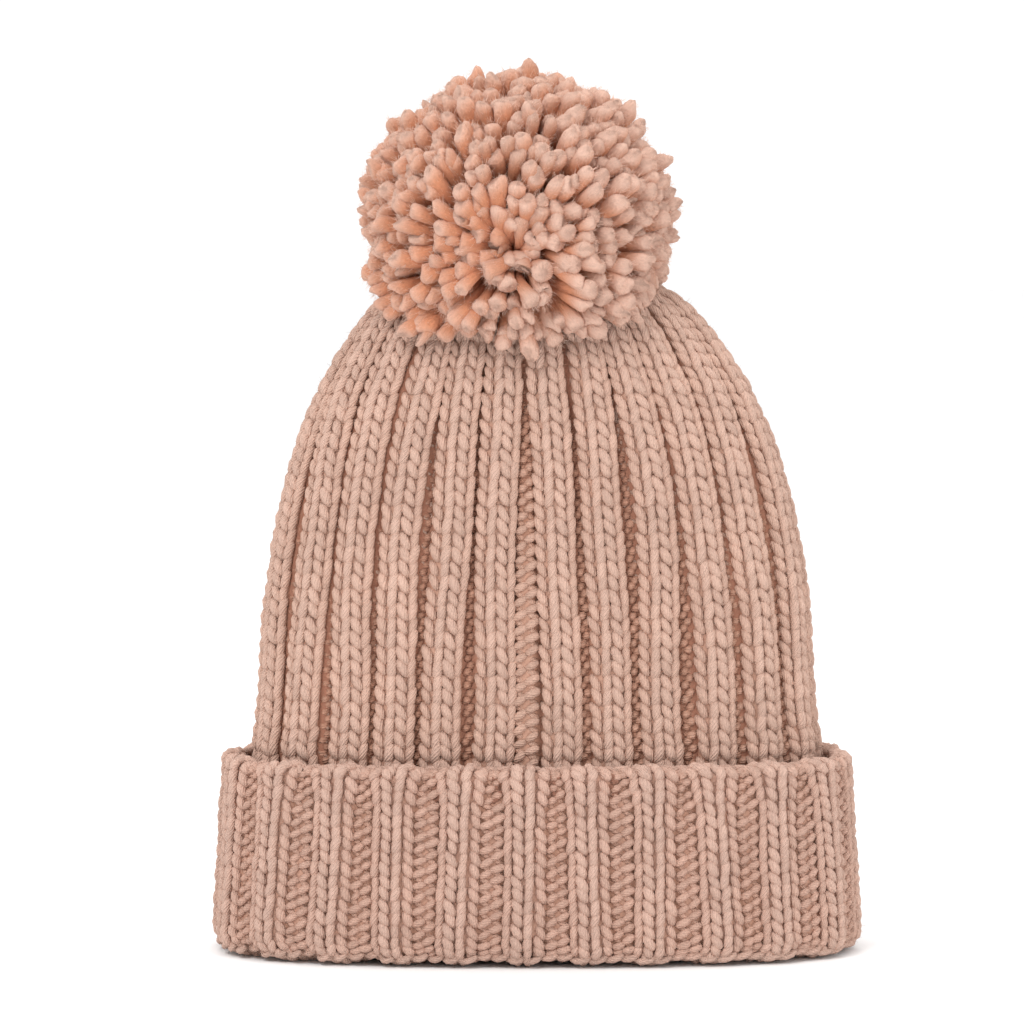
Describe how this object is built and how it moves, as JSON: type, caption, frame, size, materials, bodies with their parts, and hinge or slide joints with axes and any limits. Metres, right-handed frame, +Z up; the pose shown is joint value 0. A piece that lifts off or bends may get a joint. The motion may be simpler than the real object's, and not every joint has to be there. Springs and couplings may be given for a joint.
{
  "type": "bobble hat",
  "caption": "Chunky rib knitted bobble hat with a turned-up cuff and a yarn pompom that flops on its tie.",
  "frame": {"origin": "middle of the rim's underside, on the surface that the hat stands on", "axes": "+Z up towards the pompom, +X to the right seen from the front, the front faces -Y and the back seam +Y"},
  "size_m": [0.24, 0.12, 0.328],
  "materials": {
    "body_yarn": "soft matt wool yarn, dusty pink-beige",
    "cuff_yarn": "soft matt wool yarn, dusty pink-beige",
    "pompom_yarn": "soft fluffy cut yarn, peach-pink",
    "seam_yarn": "matt wool yarn",
    "tie_yarn": "matt wool yarn"
  },
  "bodies": {
    "hat": {"body_knit": "body_yarn", "crown_knit": "body_yarn", "cuff_panel": "cuff_yarn", "cuff_cast_on_edge": "cuff_yarn", "rim_fold": "cuff_yarn", "crown_bunched_stitches": "body_yarn", "crown_gather_yarn": "seam_yarn", "back_seam_yarn": "seam_yarn", "cuff_seam_yarn": "seam_yarn"},
    "tails": {"pompom_tails": "tie_yarn", "inside_knot": "tie_yarn"},
    "tie": {"pompom_tie": "tie_yarn"},
    "pompom": {"pompom_strands": "pompom_yarn"}
  },
  "joints": [
    {"name": "pompom_nod", "type": "hinge", "parent": "hat", "child": "tails", "pos_m": [-0.005, 0, 0.24575], "axis": [1, 0, 0], "range_deg": [-15, 15], "stiffness_Nm_per_rad": 0.08},
    {"name": "pompom_sway", "type": "hinge", "parent": "tails", "child": "tie", "pos_m": [-0.005, 0, 0.24575], "axis": [0, 1, 0], "range_deg": [-12, 12], "stiffness_Nm_per_rad": 0.08},
    {"name": "pompom_twist", "type": "hinge", "parent": "tie", "child": "pompom", "pos_m": [-0.005, 0, 0.24575], "axis": [0, 0, 1], "range_deg": [-10, 10], "stiffness_Nm_per_rad": 0.02}
  ]
}
